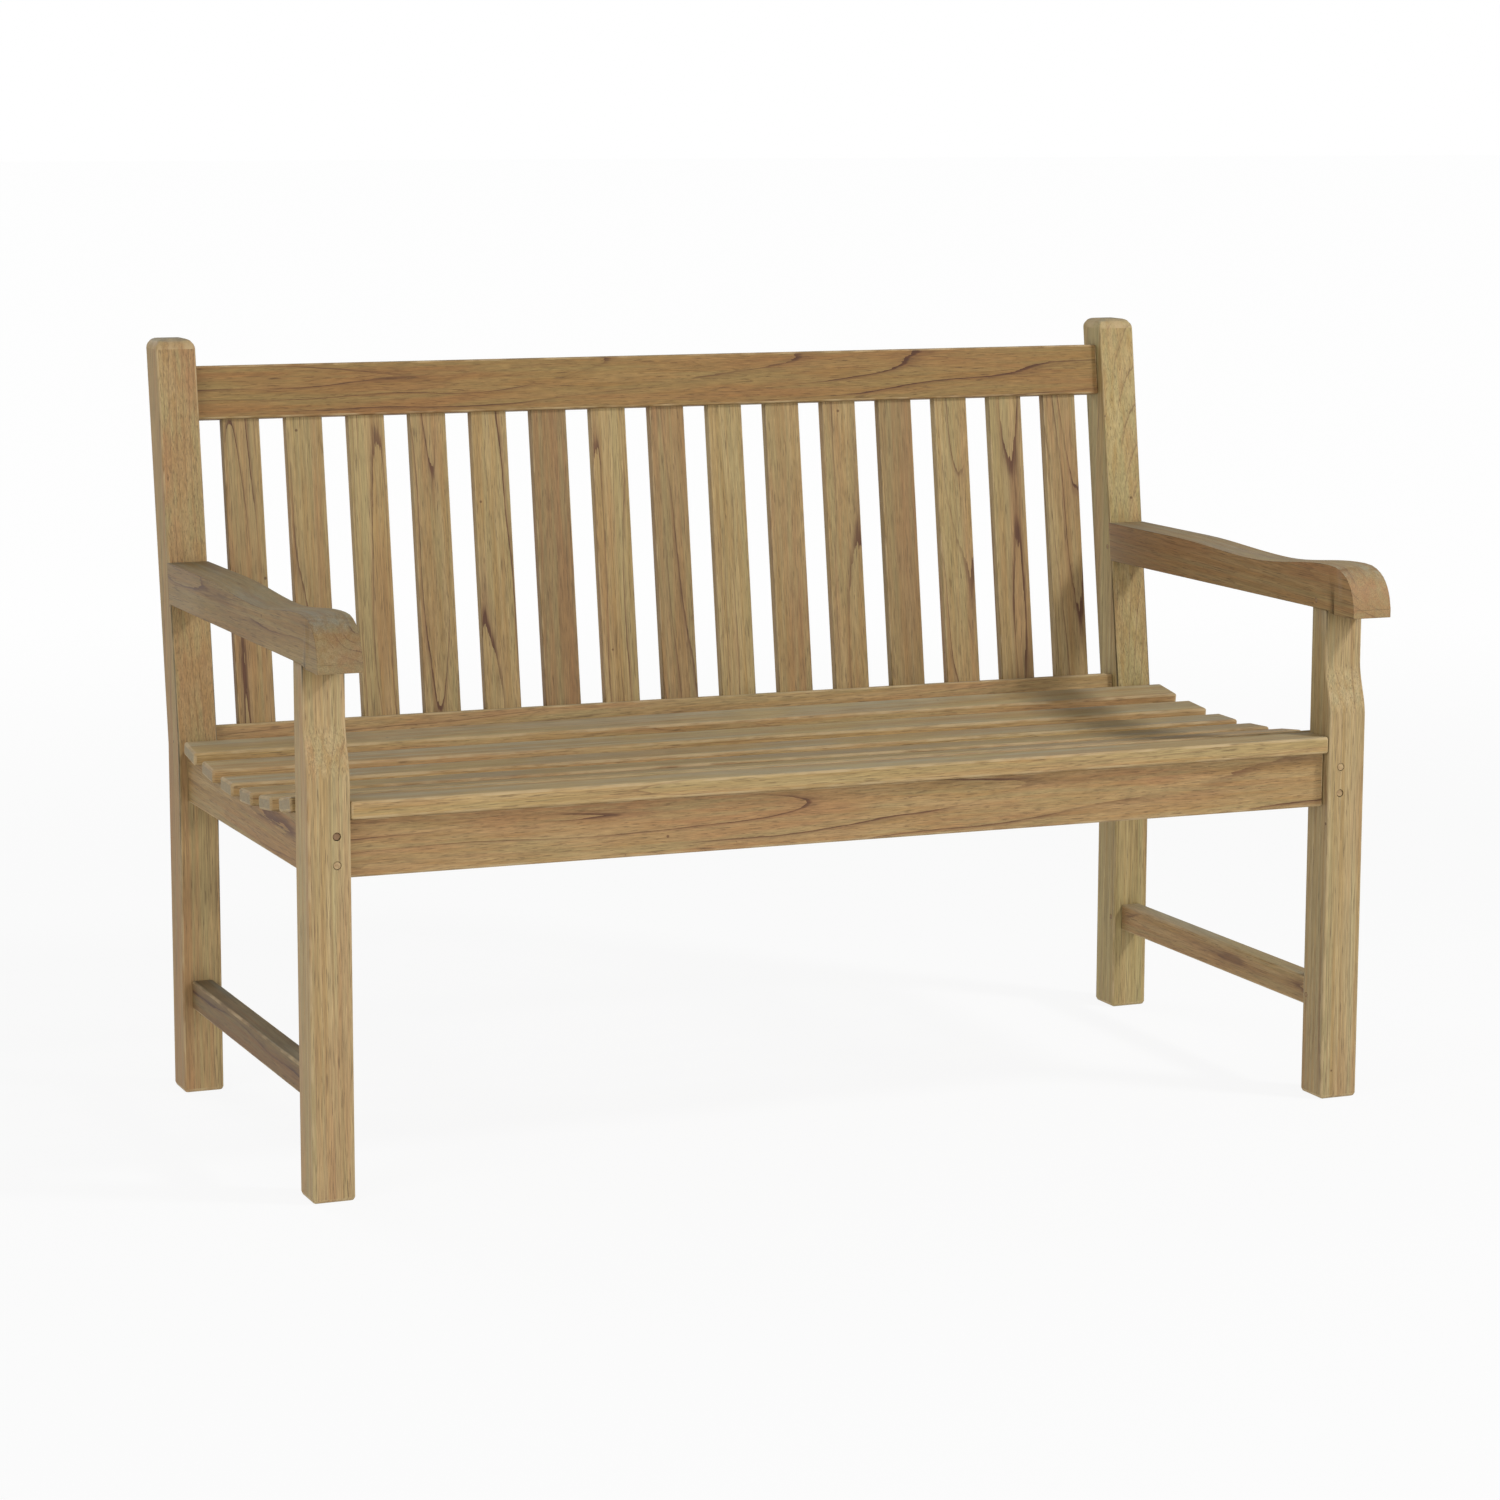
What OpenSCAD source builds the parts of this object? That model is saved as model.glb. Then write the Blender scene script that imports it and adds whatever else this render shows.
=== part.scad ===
// Slatted teak garden bench with arms: a pegged mortise-and-tenon frame.
// Origin: middle of the bench's outline on the ground. X runs along the seat, the sitter faces -Y, Z is up.

/* [Overall] */
// Width across the outer faces of the legs
bench_w = 1300; // [1000:10:1700]
// Height of the rear post tops
bench_h = 898; // [800:1:1080]
// Depth at the ground, front of the front legs to back of the rear posts
foot_d = 586; // [500:1:720]
// Height of the lowest point of the seat
seat_h = 415; // [380:1:500]

/* [Rear posts] */
// Post width along the seat
post_w = 48; // [40:1:70]
// Post thickness, front to back
post_d = 48; // [42:1:70]
// Distance from the lowest point of the seat up to where the posts start to lean back
rake_up = 8; // [4:1:30]
// Lean of the back in degrees
rake_deg = 8.2; // [4:0.1:12]
// Rounding of the post tops
post_round = 12; // [4:1:20]

/* [Front legs] */
// Leg width along the seat
leg_w = 48; // [40:1:70]
// Leg thickness below the seat, front to back
leg_d = 48; // [42:1:70]
// How far the front face steps back above the seat
leg_step = 14; // [4:1:18]
// Distance from the underside of the arm down to the upper end of the step
step_drop = 61.5; // [40:0.5:80]
// Height of the step
step_h = 66; // [40:1:75]
// Chamfer round the bottom of every foot
foot_chamfer = 4; // [1:0.5:8]

/* [Arms] */
// Arm width along the seat
arm_w = 50; // [42:1:75]
// Distance from the lowest point of the seat up to the arm's flat underside
arm_up = 174.5; // [160:0.5:220]
// Arm thickness at the rear post
arm_t = 48.5; // [40:0.5:60]
// How far the middle of the arm dips below its rear
arm_dip = 6.5; // [0:0.5:12]
// How far the hump over the leg rises above the rear
arm_crown = 5.5; // [0:0.5:12]
// How far the nose reaches past the front of the leg
nose_reach = 48; // [20:1:80]
// How far the underside drops in front of the leg
nose_drop = 3.5; // [0:0.5:6]
// Distance from the front of the leg back to the top of the hump, where the nose starts
hump_back = 12; // [0:1:20]
// Distance from the front of the leg back to the lowest point of the dip
dip_back = 190; // [150:1:230]
// Distance from the front of the leg back to where the dip starts
dip_start = 395; // [330:1:440]

/* [Back] */
// How far the back rails are set behind the front of the posts
back_inset = 12; // [4:1:20]
// Thickness of both back rails
back_rail_t = 25; // [20:1:32]
// Height of the top back rail
top_rail_h = 64; // [50:1:110]
// Distance from the post tops down to the top rail
top_rail_drop = 31; // [15:1:60]
// Height of the lower back rail
low_rail_h = 41; // [34:1:44]
// Distance from the start of the lean up to the top of the lower rail
low_rail_up = 22; // [18:1:34]
// Back slat width
back_slat_w = 46; // [30:1:60]
// Back slat thickness
back_slat_t = 13; // [9:0.5:15]
// How deep the back slats are housed in the rails
slat_housing = 12; // [6:1:14]

/* [Seat] */
// Seat slat width
seat_slat_w = 47; // [35:1:60]
// Seat slat thickness
seat_slat_t = 16; // [12:0.5:22]
// Distance from the back of the front legs to the first full slat
seat_start = 19; // [10:1:30]
// Distance from the last slat to the front of the rear posts
seat_end = 26.5; // [10:0.5:30]
// Distance from the front of the legs back to that lowest point
dish_back = 304; // [270:1:330]
// Radius of the dished seat
dish_r = 1230; // [1000:10:2000]
// Front slat width
front_slat_w = 46; // [38:1:52]
// Front slat thickness
front_slat_t = 20; // [14:1:26]
// How far the front slat is set behind the front of the legs
front_slat_inset = 1; // [0:0.5:4]
// Rounding of the seat slat edges
seat_slat_round = 3; // [1:0.5:5]

/* [Seat frame] */
// Least height of the side rails, under the lowest point of the seat
side_rail_h = 44; // [36:1:60]
// Height of the front seat rail
front_rail_h = 65; // [55:1:80]
// Thickness of the front seat rail
front_rail_t = 25; // [20:1:28]
// How far the front rail is set behind the front of the legs
front_rail_inset = 12; // [6:1:16]
// Thickness of the side seat rails
side_rail_t = 26; // [20:1:32]
// Height of the rear seat rail
rear_rail_h = 38; // [30:1:40]
// Thickness of the rear seat rail
rear_rail_t = 24; // [20:1:28]
// Thickness of the centre bearer
bearer_t = 24; // [18:1:40]

/* [Stretchers] */
// Stretcher width along the seat
stretcher_w = 26; // [18:1:32]
// Stretcher height
stretcher_h = 34; // [24:1:50]
// Height of the underside of the stretchers
stretcher_under_h = 103.5; // [60:0.5:200]

/* [Joints] */
// Tenon thickness
tenon_t = 10; // [8:0.5:11]
// Shoulder above and below each tenon
shoulder = 6; // [4:0.5:8]
// Length of the tenons on the cross rails
long_tenon = 30; // [26:1:34]
// Wood left between a side tenon and the cross tenon it meets in a leg or post
mortise_wall = 3; // [1.5:0.5:4]
// Length of the tenons on the centre bearer
bearer_tenon = 10; // [6:1:14]
// Length of the tenon at the rear of each arm
arm_tenon = 18; // [12:1:24]
// Height of the tenon at the rear of each arm
arm_tenon_h = 26; // [18:1:30]
// Height of the tenon on top of each front leg
leg_tenon_h = 24; // [16:1:28]
// Shoulder round the tenon on top of each front leg
leg_shoulder = 7; // [4:0.5:9]
// Gap round each tenon in its mortise
joint_gap = 0.15; // [0.05:0.05:0.4]
// Gap at the bottom of each mortise
mortise_gap = 1; // [0.5:0.5:2]
// Diameter of the pegs on the front legs
peg_d = 9; // [6:0.5:10]
// Distance between the pegs in a pair
peg_spacing = 31.5; // [20:0.5:40]
// Distance from the inner face of the leg to the middle of the pegs
peg_inset = 15.8; // [10:0.1:20]
// Diameter of the small pins
pin_d = 6; // [4:0.5:8]
// Length of the small pins
pin_len = 32; // [26:1:36]
// Distance from the arm's underside up to the pin in the rear post
post_pin_up = 17; // [14:0.5:24]
// Distance from the arm's underside up to the pin over the front leg
leg_pin_up = 9; // [6:0.5:16]
// Gap round each peg and pin
peg_gap = 0.05; // [0.02:0.01:0.2]

/* [Screws] */
// Shank diameter of the seat screws
screw_d = 4; // [3:0.5:5]
// Head diameter of the seat screws
screw_head_d = 8; // [6:0.5:9]
// Head height of the seat screws
screw_head_h = 2.6; // [1.5:0.1:4]
// Length of the seat screws
screw_len = 32; // [26:1:38]
// How far a screw bites into its slat
screw_bite = 11; // [8:0.5:11]
// Gap round each screw
screw_gap = 0.1; // [0.05:0.05:0.3]
// Gap round each screw head in its counterbore
counterbore_gap = 0.5; // [0.2:0.1:1]
// Distance from the legs to the outer screws of the front slat
front_screw_inset = 172; // [60:1:250]

/* [Hidden] */
$fn = 48;
curve_steps = 16;
eps = 0.5;

back_slat_count = 15;
seat_slat_count = 6;
front_screw_count = 4;
nose_power = 2.4;

// Heights that follow the seat
rake_h = seat_h + rake_up;
arm_under_h = seat_h + arm_up;
step_high_h = arm_under_h - step_drop;
step_low_h = step_high_h - step_h;
rail_under_h = seat_h - seat_slat_t - side_rail_h;

// Post outline
post_len = (bench_h - post_round - rake_h + post_round * sin(rake_deg)) / cos(rake_deg) + post_round;
post_lean = (post_d - post_round) * cos(rake_deg) + (post_len - post_round) * sin(rake_deg)
    + post_round - post_d;

// Places front to back, with the outline centred on the origin
total_d = nose_reach + foot_d + post_lean;
nose_y = -total_d / 2;
leg_front = nose_y + nose_reach;
leg_back = leg_front + leg_d;
post_back = leg_front + foot_d;
post_front = post_back - post_d;

// Places across the bench
side_x = bench_w / 2;
leg_in = side_x - leg_w;
post_in = side_x - post_w;
rail_x = side_x - leg_w / 2;

// Seat frame
front_rail_y = leg_front + front_rail_inset;
front_rail_back = front_rail_y + front_rail_t;
front_rail_top = rail_under_h + front_rail_h;
rear_rail_y = post_front + back_inset;
front_tenon_mid = front_rail_y + front_rail_t / 2;

// Dished seat: slats stand round one axis
dish_y = leg_front + dish_back;
dish_z = seat_h + dish_r;
slat_under_r = dish_r + seat_slat_t;
first_slat_y = leg_back + seat_start + seat_slat_w / 2;
last_slat_y = post_front - seat_end - seat_slat_w / 2;
seat_pitch = (last_slat_y - first_slat_y) / (seat_slat_count - 1);
side_rail_top = min(dish_height(leg_back, slat_under_r), dish_height(post_front, slat_under_r));
bearer_end_h = rail_under_h + rear_rail_h;

// Back, measured along the lean
low_rail_low = low_rail_up - low_rail_h;
top_rail_top = post_len - top_rail_drop / cos(rake_deg);
top_rail_low = top_rail_top - top_rail_h;
slat_inset = back_inset + (back_rail_t - back_slat_t) / 2;
back_slat_gap = (2 * post_in - back_slat_count * back_slat_w) / (back_slat_count + 1);
back_slat_pitch = back_slat_w + back_slat_gap;
back_tenon_mid = back_inset + back_rail_t / 2;

// Arms
arm_x = side_x - leg_w / 2;
arm_top = arm_under_h + arm_t;
arm_tenon_low = arm_under_h + (arm_t - arm_tenon_h) / 2;
leg_tenon_w = leg_w - 2 * leg_shoulder;
leg_tenon_d = leg_d - leg_step - 2 * leg_shoulder;
leg_tenon_y = leg_back - leg_shoulder - leg_tenon_d;

// Tenons of the side rails and stretchers, cut short of the cross tenons in the legs and posts
leg_stub = leg_back - (front_tenon_mid + tenon_t / 2) - mortise_wall;
post_stub = rear_rail_y + (rear_rail_t - tenon_t) / 2 - post_front - mortise_wall;

// Pegs and pins
peg_len = front_tenon_mid + tenon_t / 2 + joint_gap - leg_front;

// Screws
screw_x = [-rail_x, 0, rail_x];
counterbore_r = screw_head_d / 2 + counterbore_gap;
front_screw_y = front_tenon_mid;
front_screw_tip = front_rail_top + screw_bite;
front_screw_end = leg_in - front_screw_inset;
front_screws = [for (k = [0:front_screw_count - 1])
    front_screw_end * (2 * k / (front_screw_count - 1) - 1)];

function two_digits(n) = n < 10 ? str("0", n) : str(n);
back_slat_names = [for (i = [1:back_slat_count]) str("back_slat_", two_digits(i))];
seat_slat_names = [for (i = [1:seat_slat_count]) str("seat_slat_", two_digits(i))];

function slat_angle(i) = asin((first_slat_y + (i - 1) * seat_pitch - dish_y) / dish_r);
function back_slat_x(i) = (i - (back_slat_count + 1) / 2) * back_slat_pitch;
function ease(t) = (1 - cos(180 * t)) / 2;
function around_dish(angle, across, r) = [
    dish_y + r * sin(angle) + across * cos(angle),
    dish_z - r * cos(angle) + across * sin(angle)
];
function post_front_at(z) = post_front + (z - rake_h) * tan(rake_deg);
function dish_height(y, r) = dish_z - sqrt(r * r - (y - dish_y) * (y - dish_y));

// A rectangle with rounded corners, its lower left corner at the origin
module rounded_rect(w, h, r) {
    translate([r, 0]) square([w - 2 * r, h]);
    translate([0, r]) square([w, h - 2 * r]);
    for (x = [r, w - r], y = [r, h - r])
        translate([x, y]) circle(r);
}

// Extrudes a Y-Z outline along X, centred on x
module along_x(x, w) {
    translate([x - w / 2, 0, 0])
        rotate([90, 0, 90])
            linear_extrude(w) children();
}

// Extrudes an X-Z outline along Y, from y
module along_y(y, d) {
    translate([0, y + d, 0])
        rotate([90, 0, 0])
            linear_extrude(d) children();
}

// A box from its lowest corner, grown by gap on every side
module fit_box(corner, size, gap = 0) {
    translate(corner - [gap, gap, gap]) cube(size + 2 * [gap, gap, gap]);
}

// The frame of the leaning back: y behind the post fronts, z up along the lean
module in_rake() {
    translate([0, post_front, rake_h])
        rotate([-rake_deg, 0, 0]) children();
}

module on_side(side) {
    if (side < 0) mirror([1, 0, 0]) children();
    else children();
}

// ---- Tenons, each used for the tenon and, with a gap, for its mortise ----

// A tenon is drawn slightly into its own piece, and its mortise is slightly deeper
function tenon_len(length, gap) = length + eps + (gap > 0 ? mortise_gap : 0);

module front_rail_tenon(gap = 0) {
    fit_box([leg_in - eps, front_tenon_mid - tenon_t / 2, rail_under_h + shoulder],
        [tenon_len(long_tenon, gap), tenon_t, front_rail_h - 2 * shoulder], gap);
}

module rear_rail_tenon(gap = 0) {
    fit_box([post_in - eps, rear_rail_y + (rear_rail_t - tenon_t) / 2, rail_under_h + shoulder],
        [tenon_len(long_tenon, gap), tenon_t, rear_rail_h - 2 * shoulder], gap);
}

module back_rail_tenon(low, high, gap = 0) {
    fit_box([post_in - eps, back_tenon_mid - tenon_t / 2, low + shoulder],
        [tenon_len(long_tenon, gap), tenon_t, high - low - 2 * shoulder], gap);
}

// Front and rear tenons of a rail that runs between leg and post
module side_tenons(low, high, gap = 0) {
    front_len = tenon_len(leg_stub, gap);
    h = high - low - 2 * shoulder;
    fit_box([rail_x - tenon_t / 2, leg_back + eps - front_len, low + shoulder],
        [tenon_t, front_len, h], gap);
    fit_box([rail_x - tenon_t / 2, post_front - eps, low + shoulder],
        [tenon_t, tenon_len(post_stub, gap), h], gap);
}

module side_rail_tenons(gap = 0) {
    side_tenons(rail_under_h, side_rail_top, gap);
}

module stretcher_tenons(gap = 0) {
    side_tenons(stretcher_under_h, stretcher_under_h + stretcher_h, gap);
}

module bearer_tenons(gap = 0) {
    length = tenon_len(bearer_tenon, gap);
    h = rear_rail_h - 2 * shoulder;
    z = rail_under_h + shoulder;
    fit_box([-tenon_t / 2, front_rail_back + eps - length, z], [tenon_t, length, h], gap);
    fit_box([-tenon_t / 2, rear_rail_y - eps, z], [tenon_t, length, h], gap);
}

module arm_rear_tenon(gap = 0) {
    fit_box([arm_x - tenon_t / 2, post_front_at(arm_tenon_low) - eps, arm_tenon_low],
        [tenon_t, tenon_len(arm_tenon, gap), arm_tenon_h], gap);
}

module leg_top_tenon(gap = 0) {
    fit_box([arm_x - leg_tenon_w / 2, leg_tenon_y, arm_under_h - eps],
        [leg_tenon_w, leg_tenon_d, tenon_len(leg_tenon_h, gap)], gap);
}

// ---- Pegs and pins, each also drilled with a gap ----

module front_pegs_right(gap = 0) {
    mid = rail_under_h + front_rail_h / 2;
    for (z = [mid - peg_spacing / 2, mid + peg_spacing / 2])
        translate([leg_in + peg_inset, leg_front - gap, z])
            rotate([-90, 0, 0])
                cylinder(h = peg_len + 2 * gap, r = peg_d / 2 + gap);
}

module pin_into_side(x, y, z, gap = 0) {
    translate([x - gap, y, z])
        rotate([0, 90, 0])
            cylinder(h = pin_len + 2 * gap, r = pin_d / 2 + gap);
}

module stretcher_pins_right(gap = 0) {
    z = stretcher_under_h + stretcher_h / 2;
    pin_into_side(leg_in, leg_back - leg_stub / 2, z, gap);
    pin_into_side(post_in, post_front + post_stub / 2, z, gap);
}

module arm_pins_right(gap = 0) {
    post_z = arm_under_h + post_pin_up;
    pin_into_side(post_in, post_front_at(post_z) + arm_tenon / 2, post_z, gap);
    pin_into_side(arm_x - arm_w / 2, leg_back - leg_shoulder - pin_d / 2, arm_under_h + leg_pin_up, gap);
}

// Pins driven from behind through the tenons of the back rails
module back_rail_pins_right(gap = 0) {
    top_mid = (top_rail_low + top_rail_top) / 2;
    low_mid = (low_rail_low + low_rail_up) / 2;
    in_rake()
        for (z = [top_mid - 2 * pin_d, top_mid + 2 * pin_d, low_mid + pin_d])
            translate([post_in + long_tenon / 2, post_d + gap, z])
                rotate([90, 0, 0])
                    cylinder(h = pin_len + 2 * gap, r = pin_d / 2 + gap);
}

// ---- Screws that hold the seat slats from below ----

function screw_tip_z(i) = around_dish(slat_angle(i), 0, slat_under_r)[1] + screw_bite;

module screw(x, y, tip_z, gap = 0) {
    translate([x, y, tip_z - screw_len - gap]) {
        cylinder(h = screw_len + 2 * gap, r = screw_d / 2 + gap);
        cylinder(h = screw_head_h + gap, r = screw_head_d / 2 + gap);
    }
}

// The screw's hole with its counterbore up from the underside
module screw_hole(x, y, tip_z) {
    screw(x, y, tip_z, screw_gap);
    low = rail_under_h - eps;
    translate([x, y, low])
        cylinder(h = tip_z - screw_len - low, r = counterbore_r);
}

module slat_screws(i) {
    for (x = screw_x)
        screw(x, around_dish(slat_angle(i), 0, slat_under_r)[0], screw_tip_z(i));
}

module rail_screw_holes(x) {
    for (i = [1:seat_slat_count])
        screw_hole(x, around_dish(slat_angle(i), 0, slat_under_r)[0], screw_tip_z(i));
}

// ---- Posts, legs and arms ----

module post_lower() {
    intersection() {
        along_x(side_x - post_w / 2, post_w)
            polygon([
                [post_front + foot_chamfer, 0],
                [post_back - foot_chamfer, 0],
                [post_back, foot_chamfer],
                [post_back, rake_h - post_d * tan(rake_deg / 2)],
                [post_front, rake_h],
                [post_front, foot_chamfer]
            ]);
        along_y(post_front - eps, post_d + 2 * eps)
            polygon([
                [post_in + foot_chamfer, 0],
                [side_x - foot_chamfer, 0],
                [side_x, foot_chamfer],
                [side_x, rake_h + eps],
                [post_in, rake_h + eps],
                [post_in, foot_chamfer]
            ]);
    }
}

// The leaning part, in the frame of the back, rounded over on all four sides at the top
module post_upper() {
    start = -post_d * tan(rake_deg / 2);
    in_rake()
        intersection() {
            along_x(side_x - post_w / 2, post_w) {
                polygon([
                    [0, 0],
                    [post_d, start],
                    [post_d, post_len - post_round],
                    [0, post_len - post_round]
                ]);
                translate([0, post_len - 3 * post_round])
                    rounded_rect(post_d, 3 * post_round, post_round);
            }
            along_y(-eps, post_d + 2 * eps)
                translate([post_in, 2 * start])
                    rounded_rect(post_w, post_len - 2 * start, post_round);
        }
}

module rear_post() {
    color("burlywood")
        difference() {
            union() {
                post_lower();
                post_upper();
            }
            rear_rail_tenon(joint_gap);
            in_rake() {
                back_rail_tenon(low_rail_low, low_rail_up, joint_gap);
                back_rail_tenon(top_rail_low, top_rail_top, joint_gap);
            }
            side_rail_tenons(joint_gap);
            stretcher_tenons(joint_gap);
            arm_rear_tenon(joint_gap);
            stretcher_pins_right(peg_gap);
            arm_pins_right(peg_gap);
            back_rail_pins_right(peg_gap);
        }
}

module leg_outline() {
    polygon(concat(
        [
            [leg_front + foot_chamfer, 0],
            [leg_back - foot_chamfer, 0],
            [leg_back, foot_chamfer],
            [leg_back, arm_under_h],
            [leg_front + leg_step, arm_under_h]
        ],
        [for (k = [0:curve_steps])
            [leg_front + leg_step * (1 - ease(k / curve_steps)),
             step_high_h + (step_low_h - step_high_h) * k / curve_steps]],
        [[leg_front, foot_chamfer]]
    ));
}

module front_leg() {
    color("burlywood")
        difference() {
            union() {
                intersection() {
                    along_x(side_x - leg_w / 2, leg_w) leg_outline();
                    along_y(leg_front - eps, leg_d + 2 * eps)
                        polygon([
                            [leg_in + foot_chamfer, 0],
                            [side_x - foot_chamfer, 0],
                            [side_x, foot_chamfer],
                            [side_x, arm_under_h],
                            [leg_in, arm_under_h],
                            [leg_in, foot_chamfer]
                        ]);
                }
                leg_top_tenon();
            }
            front_rail_tenon(joint_gap);
            side_rail_tenons(joint_gap);
            stretcher_tenons(joint_gap);
            front_pegs_right(peg_gap);
            stretcher_pins_right(peg_gap);
            arm_pins_right(peg_gap);
        }
}

// Side outline of the arm, from the rear along the top, round the nose and back underneath
module arm_outline() {
    hump_y = leg_front + hump_back;
    dip_y = leg_front + dip_back;
    start_y = leg_front + dip_start;
    crown_z = arm_top + arm_crown;
    dip_z = arm_top - arm_dip;
    low_z = arm_under_h - nose_drop;
    polygon(concat(
        [[post_front_at(arm_under_h), arm_under_h], [post_front_at(arm_top), arm_top]],
        [for (k = [0:curve_steps])
            [start_y + (dip_y - start_y) * k / curve_steps, arm_top - arm_dip * ease(k / curve_steps)]],
        [for (k = [1:curve_steps])
            [dip_y + (hump_y - dip_y) * k / curve_steps, dip_z + (crown_z - dip_z) * ease(k / curve_steps)]],
        [for (k = [1:curve_steps - 1])
            let (a = 90 * k / curve_steps)
            [hump_y - (hump_y - nose_y) * pow(sin(a), 2 / nose_power),
             low_z + (crown_z - low_z) * pow(cos(a), 2 / nose_power)]],
        [[nose_y, low_z], [leg_front - nose_drop, low_z], [leg_front + leg_step, arm_under_h]]
    ));
}

module arm() {
    color("burlywood")
        difference() {
            union() {
                along_x(arm_x, arm_w) arm_outline();
                arm_rear_tenon();
            }
            leg_top_tenon(joint_gap);
            arm_pins_right(peg_gap);
        }
}

// ---- Back ----

module both_sides() {
    children();
    mirror([1, 0, 0]) children();
}

module back_slat_body(i, gap = 0) {
    low = low_rail_up - slat_housing - (gap > 0 ? mortise_gap : 0);
    high = top_rail_low + slat_housing + (gap > 0 ? mortise_gap : 0);
    translate([back_slat_x(i) - back_slat_w / 2 - gap, slat_inset - gap, low])
        cube([back_slat_w + 2 * gap, back_slat_t + 2 * gap, high - low]);
}

module back_rail(low, high) {
    color("peru")
        difference() {
            in_rake()
                difference() {
                    union() {
                        translate([-post_in, back_inset, low])
                            cube([2 * post_in, back_rail_t, high - low]);
                        both_sides() back_rail_tenon(low, high);
                    }
                    for (i = [1:back_slat_count])
                        back_slat_body(i, joint_gap);
                }
            both_sides() back_rail_pins_right(peg_gap);
        }
}

module back_slat(i) {
    color("tan") in_rake() back_slat_body(i);
}

// ---- Seat ----

module seat_slat(i) {
    angle = slat_angle(i);
    place = around_dish(angle, 0, slat_under_r);
    color("tan")
        difference() {
            translate([0, place[0], place[1]])
                rotate([angle, 0, 0])
                    along_x(0, bench_w)
                        translate([-seat_slat_w / 2, 0])
                            rounded_rect(seat_slat_w, seat_slat_t, seat_slat_round);
            for (x = screw_x)
                screw(x, place[0], screw_tip_z(i), screw_gap);
        }
}

module front_seat_slat() {
    length = 2 * (leg_in - joint_gap);
    color("tan")
        difference() {
            along_x(0, length)
                translate([leg_front + front_slat_inset, front_rail_top])
                    rounded_rect(front_slat_w, front_slat_t, seat_slat_round);
            for (x = front_screws)
                screw(x, front_screw_y, front_screw_tip, screw_gap);
        }
}

module front_seat_rail() {
    color("peru")
        difference() {
            union() {
                translate([-leg_in, front_rail_y, rail_under_h])
                    cube([2 * leg_in, front_rail_t, front_rail_h]);
                both_sides() front_rail_tenon();
            }
            both_sides() front_pegs_right(peg_gap);
            bearer_tenons(joint_gap);
            for (x = front_screws)
                screw_hole(x, front_screw_y, front_screw_tip);
        }
}

module rear_seat_rail() {
    color("peru")
        difference() {
            union() {
                translate([-post_in, rear_rail_y, rail_under_h])
                    cube([2 * post_in, rear_rail_t, rear_rail_h]);
                both_sides() rear_rail_tenon();
            }
            bearer_tenons(joint_gap);
        }
}

// Outline of a rail under the slats: flat below, with a flat seat for each slat above
module dished_outline(front, front_top, back, back_top) {
    half = seat_slat_w / 2;
    polygon(concat(
        [[back, rail_under_h], [front, rail_under_h], [front, front_top]],
        [for (i = [1:seat_slat_count], side = [-half, half])
            around_dish(slat_angle(i), side, slat_under_r)],
        [[back, back_top]]
    ));
}

module side_rail() {
    color("peru")
        difference() {
            union() {
                along_x(rail_x, side_rail_t)
                    dished_outline(leg_back, dish_height(leg_back, slat_under_r),
                        post_front, dish_height(post_front, slat_under_r));
                side_rail_tenons();
            }
            rail_screw_holes(rail_x);
        }
}

// Cut down at both ends, clear of the front slat and the lower back rail
module centre_bearer() {
    color("peru")
        difference() {
            union() {
                along_x(0, bearer_t)
                    dished_outline(front_rail_back, bearer_end_h, rear_rail_y, bearer_end_h);
                bearer_tenons();
            }
            rail_screw_holes(0);
        }
}

// ---- Stretchers ----

module stretcher() {
    color("peru")
        difference() {
            union() {
                translate([rail_x - stretcher_w / 2, leg_back, stretcher_under_h])
                    cube([stretcher_w, post_front - leg_back, stretcher_h]);
                stretcher_tenons();
            }
            stretcher_pins_right(peg_gap);
        }
}

// ---- Fasteners ----

module front_rail_pegs() {
    color("sienna") both_sides() front_pegs_right();
}

module stretcher_pins() {
    color("sienna") both_sides() stretcher_pins_right();
}

module arm_pins() {
    color("sienna") both_sides() arm_pins_right();
}

module back_rail_pins() {
    color("sienna") both_sides() back_rail_pins_right();
}

module seat_screws() {
    color("silver") {
        for (i = [1:seat_slat_count])
            slat_screws(i);
        for (x = front_screws)
            screw(x, front_screw_y, front_screw_tip);
    }
}

on_side(-1) rear_post();  // left_rear_post
on_side(1) rear_post();  // right_rear_post
on_side(-1) front_leg();  // left_front_leg
on_side(1) front_leg();  // right_front_leg
on_side(-1) arm();  // left_arm
on_side(1) arm();  // right_arm
back_rail(top_rail_low, top_rail_top);  // top_back_rail
back_rail(low_rail_low, low_rail_up);  // lower_back_rail
for (i = [1:back_slat_count])
    back_slat(i);
for (i = [1:seat_slat_count])
    seat_slat(i);
front_seat_slat();
front_seat_rail();
rear_seat_rail();
on_side(-1) side_rail();  // left_side_rail
on_side(1) side_rail();  // right_side_rail
centre_bearer();
on_side(-1) stretcher();  // left_stretcher
on_side(1) stretcher();  // right_stretcher
front_rail_pegs();
stretcher_pins();
arm_pins();
back_rail_pins();
seat_screws();
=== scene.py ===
import math
import random

import bmesh
import bpy
from mathutils import Matrix, Vector


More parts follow.
